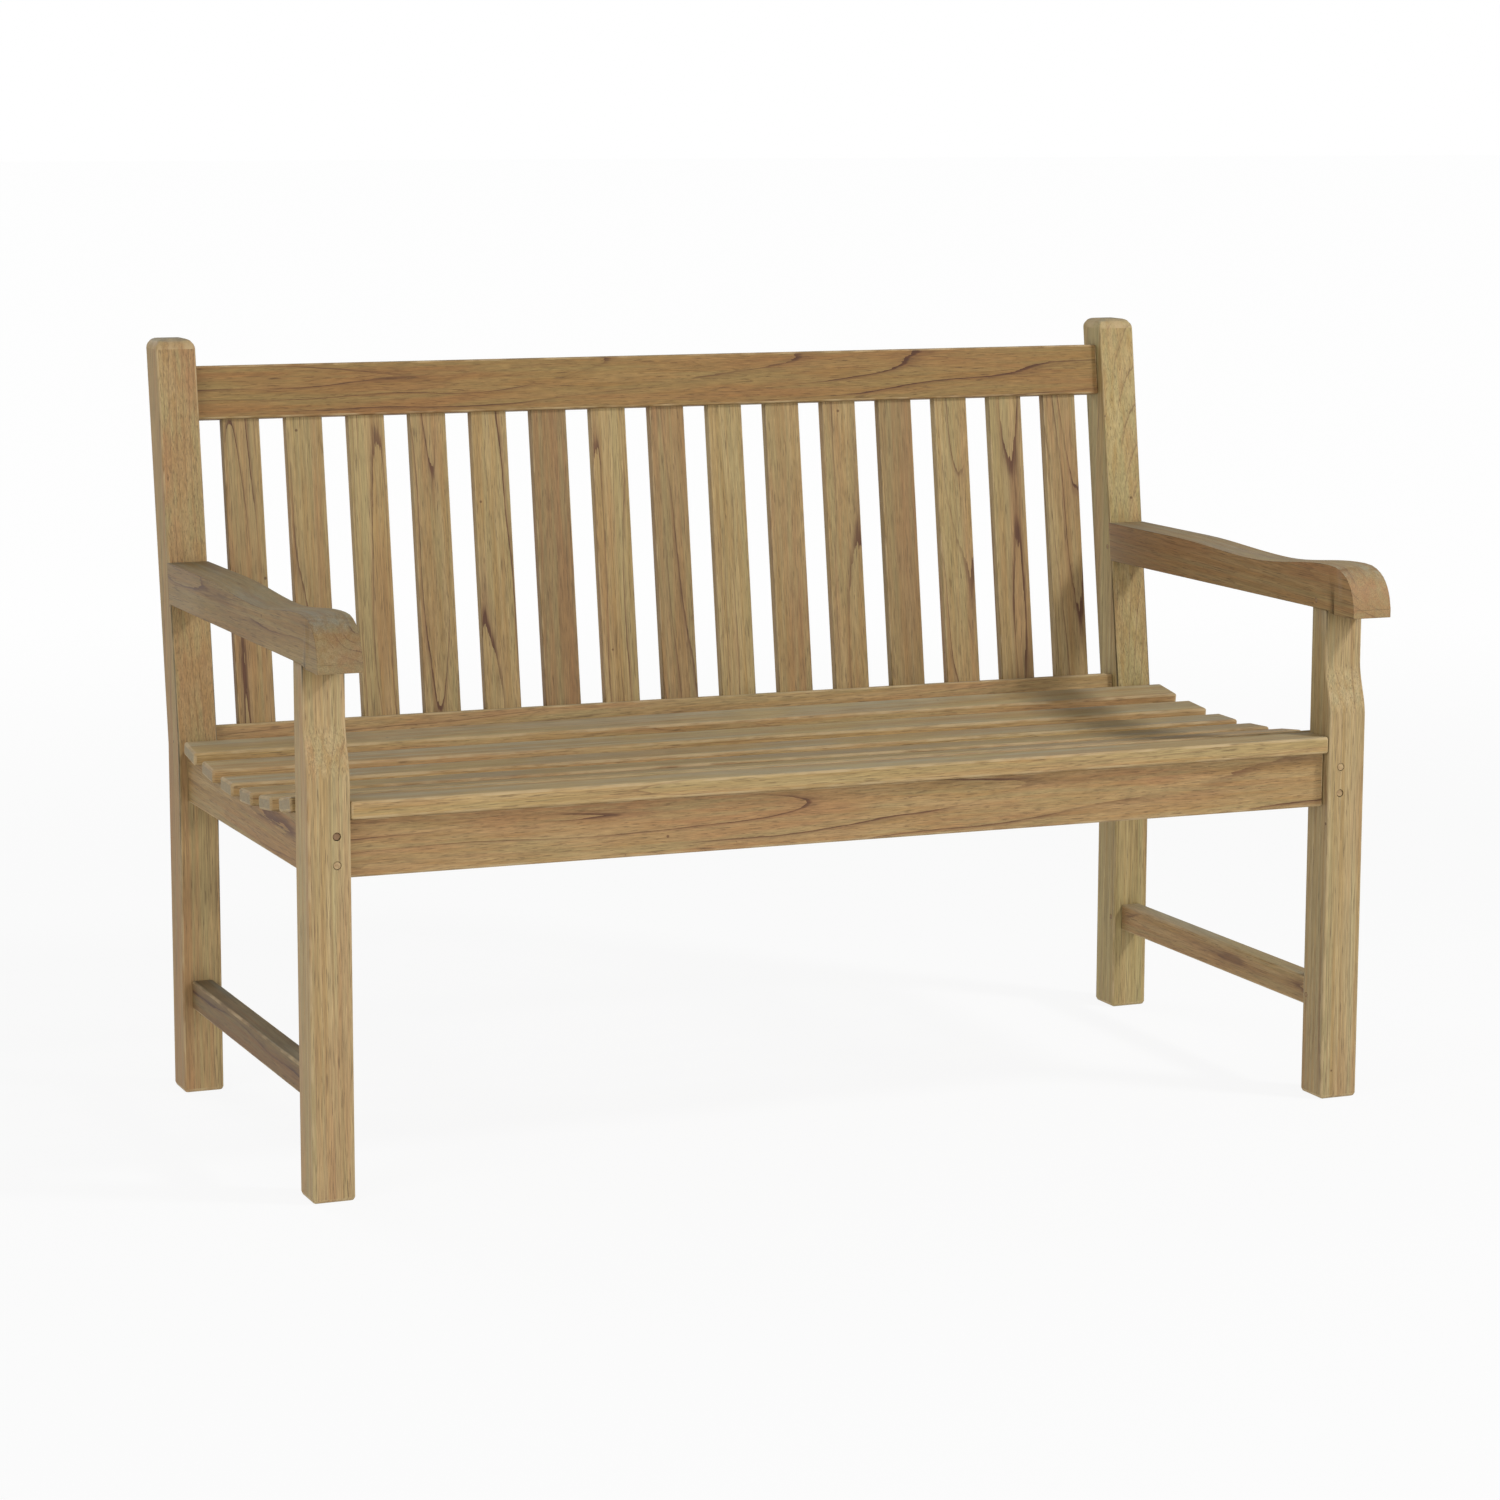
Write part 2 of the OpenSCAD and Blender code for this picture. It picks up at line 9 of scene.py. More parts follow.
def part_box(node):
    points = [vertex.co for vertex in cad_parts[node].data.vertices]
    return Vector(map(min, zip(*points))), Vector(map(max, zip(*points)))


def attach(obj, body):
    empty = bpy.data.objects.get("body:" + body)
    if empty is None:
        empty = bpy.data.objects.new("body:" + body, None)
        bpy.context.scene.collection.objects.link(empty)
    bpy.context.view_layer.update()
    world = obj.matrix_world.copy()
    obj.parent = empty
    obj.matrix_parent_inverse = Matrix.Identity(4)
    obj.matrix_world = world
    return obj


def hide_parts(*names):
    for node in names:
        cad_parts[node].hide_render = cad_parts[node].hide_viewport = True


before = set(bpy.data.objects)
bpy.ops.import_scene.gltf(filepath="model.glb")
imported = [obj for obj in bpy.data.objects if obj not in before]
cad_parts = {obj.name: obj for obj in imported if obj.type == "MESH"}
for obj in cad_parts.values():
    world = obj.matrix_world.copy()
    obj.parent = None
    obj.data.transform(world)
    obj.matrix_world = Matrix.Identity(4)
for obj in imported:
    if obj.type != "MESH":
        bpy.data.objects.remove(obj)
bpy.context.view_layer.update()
print("frame loaded with", len(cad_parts), "nodes")

scene = bpy.context.scene

# Where things stand, read from the frame (right-hand pieces; the left ones mirror them)
postLow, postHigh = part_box("right_rear_post")
legLow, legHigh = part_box("right_front_leg")
armLow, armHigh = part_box("right_arm")
postIn = postLow.x
legIn = legLow.x
outerX = postHigh.x
postFront = postLow.y
legFront = legLow.y
legBack = legHigh.y
sideMid = (legLow.x + legHigh.x) / 2

postSizes = {
    "depth": 0.048,
    "rake": math.radians(8.2),
    "rakeHeight": 0.423,
    "topRound": 0.012,
    "footChamfer": 0.0045,
    "arris": 0.0022,
}
touching = 1e-4     # two places this close count as one
endMargin = 0.0005  # edges nearer than this to an end that butts on other wood stay sharp
rakeTan = math.tan(postSizes["rake"])
rakeMatrix = (
    Matrix.Translation((0, postFront, postSizes["rakeHeight"]))
    @ Matrix.Rotation(-postSizes["rake"], 4, "X")
)

# From the bend to the top of the post, measured along its leaning front face
postLength = (
    (postHigh.z - postSizes["topRound"] * (1 - math.sin(postSizes["rake"])) - postSizes["rakeHeight"])
    / math.cos(postSizes["rake"]) + postSizes["topRound"]
)


def postFrontAt(z):
    return postFront + (z - postSizes["rakeHeight"]) * rakeTan


# ---- shaping helpers

def box(low, high):
    bm = bmesh.new()
    bmesh.ops.create_cube(bm, size=1)
    low, high = Vector(low), Vector(high)
    bmesh.ops.scale(bm, vec=high - low, verts=bm.verts)
    bmesh.ops.translate(bm, vec=(low + high) / 2, verts=bm.verts)
    return bm


def cutAcross(bm, axis, places):
    normal = Vector((axis == 0, axis == 1, axis == 2))
    for place in places:
        bmesh.ops.bisect_plane(
            bm, geom=bm.verts[:] + bm.edges[:] + bm.faces[:],
            plane_co=normal * place, plane_no=normal)


def easeEdges(bm, edges, radius, segments=3):
    # Rounds the edges and marks the new faces, which the teak shows in the board's edge colour: worn
    # arrises, on most boards paler with a painted highlight
    wearAndHighlight = bm.faces.layers.float.get("arris") or bm.faces.layers.float.new("arris")
    made = bmesh.ops.bevel(
        bm, geom=list(edges), offset=radius, offset_type="OFFSET", segments=segments,
        profile=0.5, affect="EDGES", clamp_overlap=True, material=-1)
    for face in made["faces"]:
        face[wearAndHighlight] = 1


def sharpEdges(bm, angle=50, keep=None):
    least = math.radians(angle)
    found = [e for e in bm.edges if len(e.link_faces) == 2 and e.calc_face_angle() > least]
    return [e for e in found if keep is None or keep(e)]


def edgeMiddle(edge):
    return (edge.verts[0].co + edge.verts[1].co) / 2


def footEdges(bm):
    return [e for e in bm.edges if max(v.co.z for v in e.verts) < touching]


def mirrored(bm):
    other = bm.copy()
    bmesh.ops.scale(other, vec=(-1, 1, 1), verts=other.verts)
    bmesh.ops.recalc_face_normals(other, faces=other.faces)
    return other


# ---- teak

teak = {
    "light": (0.325, 0.226, 0.100, 1),
    "middle": (0.262, 0.162, 0.058, 1),
    "rosy": (0.270, 0.143, 0.058, 1),
    "olive": (0.262, 0.200, 0.086, 1),
    "line": (0.085, 0.034, 0.015, 1),
    "lineGlow": (0.205, 0.104, 0.046, 1),
    "pore": (0.095, 0.052, 0.024, 1),
    # The next two: colours of upward faces, partly weathering of the teak and partly painted sky light
    "weatheredSkyLit": (0.315, 0.256, 0.138, 1),
    "silver": (0.275, 0.252, 0.178, 1),
    "endGrain": (0.190, 0.172, 0.115, 1),
    # Next: the paler colour of rounded edges, partly wear and partly a painted highlight
    "arris": (0.375, 0.275, 0.145, 1),
    "darkArris": (0.060, 0.036, 0.018, 1),
    "drift": 0.020,      # how far the heart line wanders, in metres
    "uneven": 0.011,     # how unequal the rings are
    "feather": 0.0014,   # how ragged a line's edge is
    "lineShape": [(0.0, 1.0), (0.035, 0.85), (0.07, 0.2), (0.25, 0.05), (0.9, 0.02), (1.0, 0.12)],
    "glowShape": [(0.0, 0.7), (0.06, 0.4), (0.22, 0.0), (1.0, 0.0)],
    "lineDepth": 1.0,
    "fleckDepth": 0.62,
    "nickDepth": 0.75,
    "toneStep": 0.22,    # how much one step of tone changes a board's brightness
    # Next: how far upward faces take those colours, partly weathering and partly painted light on the tops
    "weatheringAndSkyLight": 0.62,
}


def addNode(tree, kind, inputs=None, **settings):
    made = tree.nodes.new(kind)
    for name, value in settings.items():
        setattr(made, name, value)
    for socket, value in (inputs or {}).items():
        if isinstance(value, bpy.types.NodeSocket):
            tree.links.new(value, made.inputs[socket])
        else:
            made.inputs[socket].default_value = value
    return made


def calc(tree, operation, first, second=0.5, clamp=False):
    made = addNode(tree, "ShaderNodeMath", {0: first, 1: second}, operation=operation, use_clamp=clamp)
    return made.outputs[0]


def vectorCalc(tree, operation, first, second, output="Vector"):
    made = addNode(tree, "ShaderNodeVectorMath", {0: first, 1: second}, operation=operation)
    return made.outputs[output]


def scaled(tree, vector, amount):
    made = addNode(tree, "ShaderNodeVectorMath", {0: vector, "Scale": amount}, operation="SCALE")
    return made.outputs[0]


def blendColour(tree, amount, first, second, mode="MIX"):
    made = addNode(tree, "ShaderNodeMix", {0: amount, 6: first, 7: second},
                   data_type="RGBA", blend_type=mode)
    return made.outputs[2]


def spread(tree, value, low, high, toLow=0.0, toHigh=1.0):
    made = addNode(tree, "ShaderNodeMapRange", {0: value, 1: low, 2: high, 3: toLow, 4: toHigh},
                   interpolation_type="SMOOTHSTEP")
    return made.outputs[0]


def grainNoise(tree, place, stretch, detail=2.0, rough=0.5, output=0):
    stretched = vectorCalc(tree, "MULTIPLY", place, stretch)
    made = addNode(tree, "ShaderNodeTexNoise", {
        "Vector": stretched, "Scale": 1.0, "Detail": detail, "Roughness": rough})
    return made.outputs[output]


def colourRamp(tree, value, stops):
    made = addNode(tree, "ShaderNodeValToRGB", {0: value})
    ramp = made.color_ramp
    while len(ramp.elements) < len(stops):
        ramp.elements.new(0.5)
    for element, (place, grey) in zip(ramp.elements, stops):
        element.position = place
        element.color = (grey, grey, grey, 1)
    return made.outputs[0]


grainInputs = {
    "board": "Vector", "along": "Vector", "tone": "Float", "warmth": "Float", "lines": "Float",
    "ringGap": "Float", "drift": "Float", "ends": "Float", "edge": "Color", "tint": "Color",
}
grainOutputs = {"colour": "Color", "roughness": "Float", "height": "Float"}


def buildTeakGrain():
    # Growth rings lie round a heart line that runs along X beside the board
    tree = bpy.data.node_groups.new("teakGrain", "ShaderNodeTree")
    face = tree.interface
    for name, kind in grainInputs.items():
        face.new_socket(name, in_out="INPUT", socket_type="NodeSocket" + kind)
    for name, kind in grainOutputs.items():
        face.new_socket(name, in_out="OUTPUT", socket_type="NodeSocket" + kind)
    given = tree.nodes.new("NodeGroupInput").outputs
    board = given["board"]

    drift = grainNoise(tree, board, (1.6, 9, 9), 2.0, 0.55, output=1)
    centred = vectorCalc(tree, "SUBTRACT", drift, (0.5, 0.5, 0.5))
    wander = scaled(tree, centred, calc(tree, "MULTIPLY", given["drift"], teak["drift"] * 2))
    bent = vectorCalc(tree, "ADD", board, wander)
    across = vectorCalc(tree, "MULTIPLY", bent, (0, 1, 1))
    radius = addNode(tree, "ShaderNodeVectorMath", {0: across}, operation="LENGTH").outputs["Value"]
    uneven = addNode(tree, "ShaderNodeTexNoise", {
        "W": calc(tree, "MULTIPLY", radius, 45.0), "Scale": 1.0, "Detail": 1.0},
        noise_dimensions="1D").outputs[0]
    feather = calc(tree, "MULTIPLY", grainNoise(tree, board, (22, 300, 300), 2.0, 0.6), teak["feather"])
    ragged = calc(tree, "ADD", calc(tree, "MULTIPLY", uneven, teak["uneven"]), feather)
    radius = calc(tree, "ADD", radius, ragged)
    ring = calc(tree, "FRACT", calc(tree, "DIVIDE", radius, given["ringGap"]))
    line = colourRamp(tree, ring, teak["lineShape"])
    glow = colourRamp(tree, ring, teak["glowShape"])
    clear = spread(tree, grainNoise(tree, board, (2.6, 30, 30), 2.0), 0.40, 0.60, 0.12, 1.0)
    clear = calc(tree, "MULTIPLY", clear, given["lines"])
    line = calc(tree, "MULTIPLY", line, clear)
    glow = calc(tree, "MULTIPLY", glow, clear, clamp=True)

    fibres = grainNoise(tree, board, (24, 820, 820), 3.0, 0.65)
    streaks = grainNoise(tree, board, (1.5, 150, 150), 4.0, 0.62)
    blotches = grainNoise(tree, board, (3.0, 26, 26), 4.0, 0.6)
    sheen = grainNoise(tree, board, (1.6, 90, 90), 3.0, 0.6)
    flecks = spread(tree, grainNoise(tree, board, (30, 900, 900), 2.0, 0.6), 0.58, 0.68)

    colour = blendColour(tree, spread(tree, streaks, 0.34, 0.66), teak["light"], teak["middle"])
    redder = calc(tree, "ADD", spread(tree, blotches, 0.35, 0.70, -0.15, 0.55), given["warmth"], clamp=True)
    colour = blendColour(tree, redder, colour, teak["rosy"])
    colour = blendColour(tree, spread(tree, sheen, 0.42, 0.68, 0.0, 0.6), colour, teak["olive"])
    colour = blendColour(tree, glow, colour, teak["lineGlow"])
    lineShare = calc(tree, "MULTIPLY", line, teak["lineDepth"], clamp=True)
    colour = blendColour(tree, lineShare, colour, teak["line"])
    colour = blendColour(tree, calc(tree, "MULTIPLY", flecks, teak["fleckDepth"]), colour, teak["pore"])
    nicks = addNode(tree, "ShaderNodeTexVoronoi", {"Vector": board, "Scale": 20.0}).outputs["Distance"]
    nicks = spread(tree, nicks, 0.028, 0.045, 1.0, 0.0)
    colour = blendColour(tree, calc(tree, "MULTIPLY", nicks, teak["nickDepth"]), colour, teak["line"])
    colour = blendColour(tree, 1.0, colour, given["tint"], "MULTIPLY")
    shade = calc(tree, "ADD", calc(tree, "MULTIPLY", fibres, 1.3), 0.37)
    boardTone = calc(tree, "ADD", calc(tree, "MULTIPLY", given["tone"], teak["toneStep"]), 1.0)
    shade = calc(tree, "MULTIPLY", shade, boardTone)
    colour = scaled(tree, colour, shade)

    # Upward faces turn paler and greyer: partly real weathering of the teak, partly painted sky light and a
    # painted lighter top
    normal = addNode(tree, "ShaderNodeNewGeometry").outputs["Normal"]
    upward = vectorCalc(tree, "DOT_PRODUCT", normal, (0, 0, 1), "Value")
    topWeatherAndSkyLight = calc(tree, "MULTIPLY", spread(tree, upward, 0.55, 0.95, 0.0, teak["weatheringAndSkyLight"]),
                 spread(tree, streaks, 0.3, 0.6, 1.4, 0.55))
    greyedSkyLit = blendColour(tree, spread(tree, grainNoise(tree, board, (5, 24, 24), 3.0), 0.42, 0.62),
                         teak["weatheredSkyLit"], teak["silver"])
    greyedSkyLit = scaled(tree, greyedSkyLit, shade)
    colour = blendColour(tree, topWeatherAndSkyLight, colour, greyedSkyLit)
    endwise = calc(tree, "ABSOLUTE", vectorCalc(tree, "DOT_PRODUCT", normal, given["along"], "Value"))
    onEnd = calc(tree, "MULTIPLY", spread(tree, endwise, 0.75, 0.97), given["ends"])
    checks = spread(tree, grainNoise(tree, board, (60, 520, 520), 3.0, 0.7), 0.52, 0.68, 0.0, 0.75)
    endColour = blendColour(tree, checks, teak["endGrain"], teak["pore"])
    colour = blendColour(tree, onEnd, colour, endColour)
    # Rounded edges take the board's edge colour: on most boards a paler one, partly wear and partly a
    # painted highlight
    arris = addNode(tree, "ShaderNodeAttribute", attribute_name="arris").outputs["Fac"]
    patches = spread(tree, grainNoise(tree, board, (30, 60, 60), 2.0), 0.35, 0.7, 0.1, 0.8)
    wearAndHighlight = calc(tree, "MULTIPLY", arris, patches)
    colour = blendColour(tree, wearAndHighlight, colour, given["edge"])

    roughness = calc(tree, "ADD", calc(tree, "MULTIPLY", fibres, 0.2), 0.5)
    roughness = calc(tree, "SUBTRACT", roughness, calc(tree, "MULTIPLY", line, 0.06))
    height = calc(tree, "SUBTRACT", fibres, calc(tree, "MULTIPLY", flecks, 0.6))
    height = calc(tree, "ADD", height, calc(tree, "MULTIPLY", line, 0.25))
    addNode(tree, "NodeGroupOutput", {"colour": colour, "roughness": roughness, "height": height})
    return tree


teakGrain = buildTeakGrain()
grainTurns = {
    "x": Matrix.Identity(3),
    "y": Matrix.Rotation(math.radians(-90), 3, "Z"),
    "z": Matrix.Rotation(math.radians(90), 3, "Y"),
    "rake": Matrix.Rotation(math.radians(90), 3, "Y") @ Matrix.Rotation(postSizes["rake"], 3, "X"),
}


def newMaterial(name):
    material = bpy.data.materials.new(name)
    material.use_nodes = True
    return material, material.node_tree, material.node_tree.nodes["Principled BSDF"]


def finishShader(tree, colour, roughness, height, strength, distance):
    shader = tree.nodes["Principled BSDF"]
    bump = addNode(tree, "ShaderNodeBump", {"Height": height, "Strength": strength, "Distance": distance})
    tree.links.new(colour, shader.inputs["Base Color"])
    tree.links.new(roughness, shader.inputs["Roughness"])
    tree.links.new(bump.outputs[0], shader.inputs["Normal"])


usualLook = {
    "tone": 0.0, "warmth": 0.15, "lines": 0.8, "ringGap": 0.010, "drift": 1.0, "ends": 0.6,
    "edge": teak["arris"], "tint": (1, 1, 1, 1),
}


def teakMaterial(name, centre, grain, look):
    # look: seed, the group's inputs, heart (how far the heart line is, across and up), and the angles in
    # degrees at which the board runs off it: dive towards the face and slant across it
    dice = random.Random(look["seed"])
    dive = look.get("dive", dice.uniform(0.8, 2.4) * dice.choice((-1, 1)))
    slant = look.get("slant", dice.uniform(-0.8, 0.8))
    heart = look.get("heart", (dice.uniform(0.015, 0.05), dice.uniform(-0.02, 0.02)))
    turn = Matrix.Rotation(math.radians(slant), 3, "Y") @ Matrix.Rotation(math.radians(dive), 3, "Z")
    turn = turn @ grainTurns[grain]
    offset = Vector((dice.uniform(-9, 9), heart[0], heart[1])) - turn @ centre
    along = grainTurns[grain].inverted() @ Vector((1, 0, 0))

    material, tree, shader = newMaterial(name)
    place = addNode(tree, "ShaderNodeTexCoord").outputs["Object"]
    mapped = addNode(tree, "ShaderNodeMapping", {
        "Vector": place, "Location": offset, "Rotation": turn.to_euler("XYZ")}).outputs[0]
    made = addNode(tree, "ShaderNodeGroup", node_tree=teakGrain)
    tree.links.new(mapped, made.inputs["board"])
    made.inputs["along"].default_value = along
    for entry, usual in usualLook.items():
        made.inputs[entry].default_value = look.get(entry, usual)
    shown = [made.outputs[entry] for entry in grainOutputs]
    finishShader(tree, *shown, 0.35, 0.0005)
    shader.inputs["Specular IOR Level"].default_value = 0.25
    return material


def finishPiece(name, bm, standsFor, material):
    bmesh.ops.recalc_face_normals(bm, faces=bm.faces)
    mesh = bpy.data.meshes.new(name)
    bm.to_mesh(mesh)
    bm.free()
    mesh.shade_smooth()
    piece = bpy.data.objects.new(name, mesh)
    scene.collection.objects.link(piece)
    piece.data.materials.append(material)
    evener = piece.modifiers.new("flatFaces", "WEIGHTED_NORMAL")
    evener.keep_sharp = True
    evener.weight = 90
    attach(piece, "root")
    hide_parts(*standsFor)
    return piece


def woodPiece(node, bm, grain, look):
    corners = [v.co for v in bm.verts]
    centre = Vector([(min(c[i] for c in corners) + max(c[i] for c in corners)) / 2 for i in range(3)])
    return finishPiece(node + "_wood", bm, [node], teakMaterial(node + "_teak", centre, grain, look))


drillStart = 0.004      # a drill starts this far outside the wood


def drill(piece, holes):
    # holes: (mouth, direction into the wood, radius, depth)
    bm = bmesh.new()
    for mouth, direction, radius, depth in holes:
        direction = Vector(direction).normalized()
        turn = direction.to_track_quat("Z", "Y").to_matrix().to_4x4()
        start = Vector(mouth) - direction * drillStart
        middle = Matrix.Translation(start + direction * (depth + drillStart) / 2)
        bmesh.ops.create_cone(bm, cap_ends=True, segments=32, radius1=radius, radius2=radius,
                              depth=depth + drillStart, matrix=middle @ turn)
    bm.faces.layers.float.new("arris")
    cutterMesh = bpy.data.meshes.new("drill")
    bm.to_mesh(cutterMesh)
    bm.free()
    cutter = bpy.data.objects.new("drill", cutterMesh)
    scene.collection.objects.link(cutter)
    cut = piece.modifiers.new("drill", "BOOLEAN")
    cut.operation = "DIFFERENCE"
    cut.solver = "EXACT"
    cut.object = cutter
    evener = piece.modifiers["flatFaces"]
    evener.show_viewport = False
    bpy.context.view_layer.update()
    graph = bpy.context.evaluated_depsgraph_get()
    drilled = bpy.data.meshes.new_from_object(piece.evaluated_get(graph), depsgraph=graph)
    piece.modifiers.remove(cut)
    evener.show_viewport = True
    old = piece.data
    piece.data = drilled
    bpy.data.meshes.remove(old)
    bpy.data.objects.remove(cutter)


# ---- rear posts

def rearPost():
    depth, rake = postSizes["depth"], postSizes["rake"]
    back = depth * math.tan(rake / 2)       # how much shorter the leaning part is at its back
    bm = box((postIn, postFront, 0), (outerX, postFront + depth, postSizes["rakeHeight"]))
    bm.faces.ensure_lookup_table()
    top = max(bm.faces, key=lambda f: f.calc_center_median().z)
    for v in top.verts:
        if v.co.y > postFront + depth / 2:
            v.co.z -= back
    topRound = postSizes["topRound"]
    upper = bmesh.ops.extrude_face_region(bm, geom=[top])["geom"]
    for v in upper:
        if isinstance(v, bmesh.types.BMVert):
            rise = postLength + (back if v.co.y > postFront + depth / 2 else 0)
            v.co += Vector((0, math.sin(rake), math.cos(rake))) * rise
    crown = postHigh.z - 0.03
    easeEdges(bm, sharpEdges(bm, 50, lambda e: min(v.co.z for v in e.verts) > crown - 0.03
                             and edgeMiddle(e).z > crown), topRound, 6)
    easeEdges(bm, footEdges(bm), postSizes["footChamfer"], 2)
    easeEdges(bm, sharpEdges(bm, 55), postSizes["arris"])
    return bm


post = rearPost()
postLooks = {
    "right": {"seed": 21, "tone": 0.45, "warmth": 0.0, "tint": (0.93, 1.03, 1.06, 1), "lines": 0.5,
              "ringGap": 0.008, "heart": (0.09, 0.05), "dive": 0.2, "slant": 0.2, "drift": 0.4},
    "left": {"seed": 4, "tone": 0.0, "warmth": 0.55, "tint": (0.97, 1.04, 1.08, 1), "lines": 0.6,
             "ringGap": 0.007, "heart": (0.02, 0.11), "dive": 0.2, "slant": 0.15, "drift": 0.25},
}
rightPost = woodPiece("right_rear_post", post.copy(), "z", postLooks["right"])
leftPost = woodPiece("left_rear_post", mirrored(post), "z", postLooks["left"])
post.free()
print("rear posts made")

# ---- arms; the legs' sizes are here too, because the arm's underside follows the leg's step

armSizes = {
    "thickness": 0.0485,
    "dip": 0.0065,
    "crown": 0.0055,
    "noseDrop": 0.0035,
    "humpBack": 0.012,
    "dipBack": 0.190,
    "dipStart": 0.395,
    "nosePower": 2.4,
    "noseAngles": (12, 22, 32, 41, 49, 57, 64, 71, 78, 83),
    "noseLip": 0.010,
    "waveCuts": 22,
    "arris": 0.0016,
}
armLooks = {
    "right": {"seed": 31, "tone": -0.6, "warmth": 0.6, "ends": 0.1, "lines": 0.8, "ringGap": 0.010,
              "heart": (0.03, -0.03), "dive": 0.6, "slant": 1.4, "edge": teak["darkArris"]},
    "left": {"seed": 35, "tone": -1.45, "warmth": 0.2, "ends": 0.1, "lines": 0.9, "ringGap": 0.009,
             "heart": (0.04, -0.02), "dive": 0.5, "slant": -1.2, "edge": teak["darkArris"]},
}
legSizes = {
    "step": 0.014,
    "stepDrop": 0.0615,
    "stepHeight": 0.066,
    "stepCuts": 14,
    "arris": 0.0024,
}
legLooks = {
    "right": {"seed": 41, "tone": 0.2, "warmth": -0.05, "tint": (0.96, 1.04, 1.20, 1), "lines": 0.5,
              "ringGap": 0.009, "heart": (0.03, 0.12), "dive": 0.2, "slant": 0.2, "drift": 0.5},
    "left": {"seed": 43, "tone": 0.45, "warmth": 0.2, "tint": (0.95, 1.02, 1.14, 1), "lines": 0.35,
             "ringGap": 0.010, "heart": (0.06, 0.08), "dive": 0.4, "slant": 0.3, "drift": 0.5},
}
armUnder = armLow.z + armSizes["noseDrop"]
armTop = armUnder + armSizes["thickness"]
noseY = armLow.y
humpY = legFront + armSizes["humpBack"]
dipY = legFront + armSizes["dipBack"]
dipStartY = legFront + armSizes["dipStart"]
crownZ = armTop + armSizes["crown"]
dipZ = armTop - armSizes["dip"]


def ease(t):
    return (1 - math.cos(math.pi * max(0, min(1, t)))) / 2


def armTopAt(y):
    if y < humpY:
        share = min(1, (humpY - y) / (humpY - noseY))
        power = armSizes["nosePower"]
        return armLow.z + (crownZ - armLow.z) * max(0, 1 - share ** power) ** (1 / power)
    if y < dipY:
        return crownZ + (dipZ - crownZ) * ease((y - humpY) / (dipY - humpY))
    return dipZ + (armTop - dipZ) * ease((y - dipY) / (dipStartY - dipY))


def armUnderAt(y):
    start, end = legFront - armSizes["noseDrop"], legFront + legSizes["step"]
    return armLow.z + (armUnder - armLow.z) * max(0, min(1, (y - start) / (end - start)))


def bentArm():
    power = armSizes["nosePower"]
    rear = postFrontAt(armUnder)
    bm = box((armLow.x, noseY, armUnder), (armHigh.x, rear, armTop))
    nose = [humpY - (humpY - noseY) * math.sin(math.radians(angle)) ** (2 / power)
            for angle in armSizes["noseAngles"]]
    cuts = armSizes["waveCuts"]
    waves = [humpY + (dipStartY - humpY) * k / cuts for k in range(cuts + 1)]
    cutAcross(bm, 1, nose + waves + [legFront - armSizes["noseDrop"], legFront + legSizes["step"]])
    for v in bm.verts:
        upper = v.co.z > (armUnder + armTop) / 2
        if upper and v.co.y > rear - touching:
            v.co.y = postFrontAt(armTop)
        elif upper:
            v.co.z = max(armTopAt(v.co.y), armLow.z + armSizes["noseLip"])
        else:
            v.co.z = armUnderAt(v.co.y)
    easeEdges(bm, sharpEdges(bm, 40, lambda e: edgeMiddle(e).y < rear - endMargin), armSizes["arris"])
    return bm


arm = bentArm()
rightArm = woodPiece("right_arm", arm.copy(), "y", armLooks["right"])
leftArm = woodPiece("left_arm", mirrored(arm), "y", armLooks["left"])
arm.free()
print("arms made")

# ---- front legs

stepHigh = armUnder - legSizes["stepDrop"]
stepLow = stepHigh - legSizes["stepHeight"]


def steppedLeg():
    bm = box((legIn, legFront, 0), (outerX, legBack, armUnder))
    cuts = legSizes["stepCuts"]
    cutAcross(bm, 2, [stepLow + (stepHigh - stepLow) * k / cuts for k in range(cuts + 1)])
    for v in bm.verts:
        if v.co.y < legFront + touching:
            v.co.y += legSizes["step"] * ease((v.co.z - stepLow) / (stepHigh - stepLow))
    easeEdges(bm, footEdges(bm), postSizes["footChamfer"], 2)
    easeEdges(bm, sharpEdges(bm, 50, lambda e: edgeMiddle(e).z < armUnder - endMargin), legSizes["arris"])
    return bm


leg = steppedLeg()
rightLeg = woodPiece("right_front_leg", leg.copy(), "z", legLooks["right"])
leftLeg = woodPiece("left_front_leg", mirrored(leg), "z", legLooks["left"])
leg.free()
print("front legs made")

# ---- back: two rails and the upright slats, drawn square in the leaning frame and then leaned

backSizes = {
    "inset": 0.012,
    "railThickness": 0.025,
    "topRail": 0.064,
    "topDrop": 0.031,
    "lowRailUp": 0.022,
    "lowRail": 0.041,
    "slatThickness": 0.013,
    "slatWidth": 0.046,
    "slatIn": 0.003,
    "railRound": 0.0025,
    "slatRound": 0.0016,
}
backLooks = {
    "top": {"seed": 55, "tone": -1.05, "warmth": 0.45, "tint": (0.98, 0.91, 0.72, 1), "lines": 1.4,
            "ringGap": 0.012, "heart": (0.045, -0.025), "dive": 2.6, "slant": 0.8},
    "low": {"seed": 52, "tone": -0.3, "warmth": 0.3, "lines": 0.7, "heart": (0.07, 0.04)},
    "slats": {"tint": (0.98, 1.02, 1.05, 1)},
}
topRailTop = postLength - backSizes["topDrop"] / math.cos(postSizes["rake"])
topRailLow = topRailTop - backSizes["topRail"]
slatInset = backSizes["inset"] + (backSizes["railThickness"] - backSizes["slatThickness"]) / 2


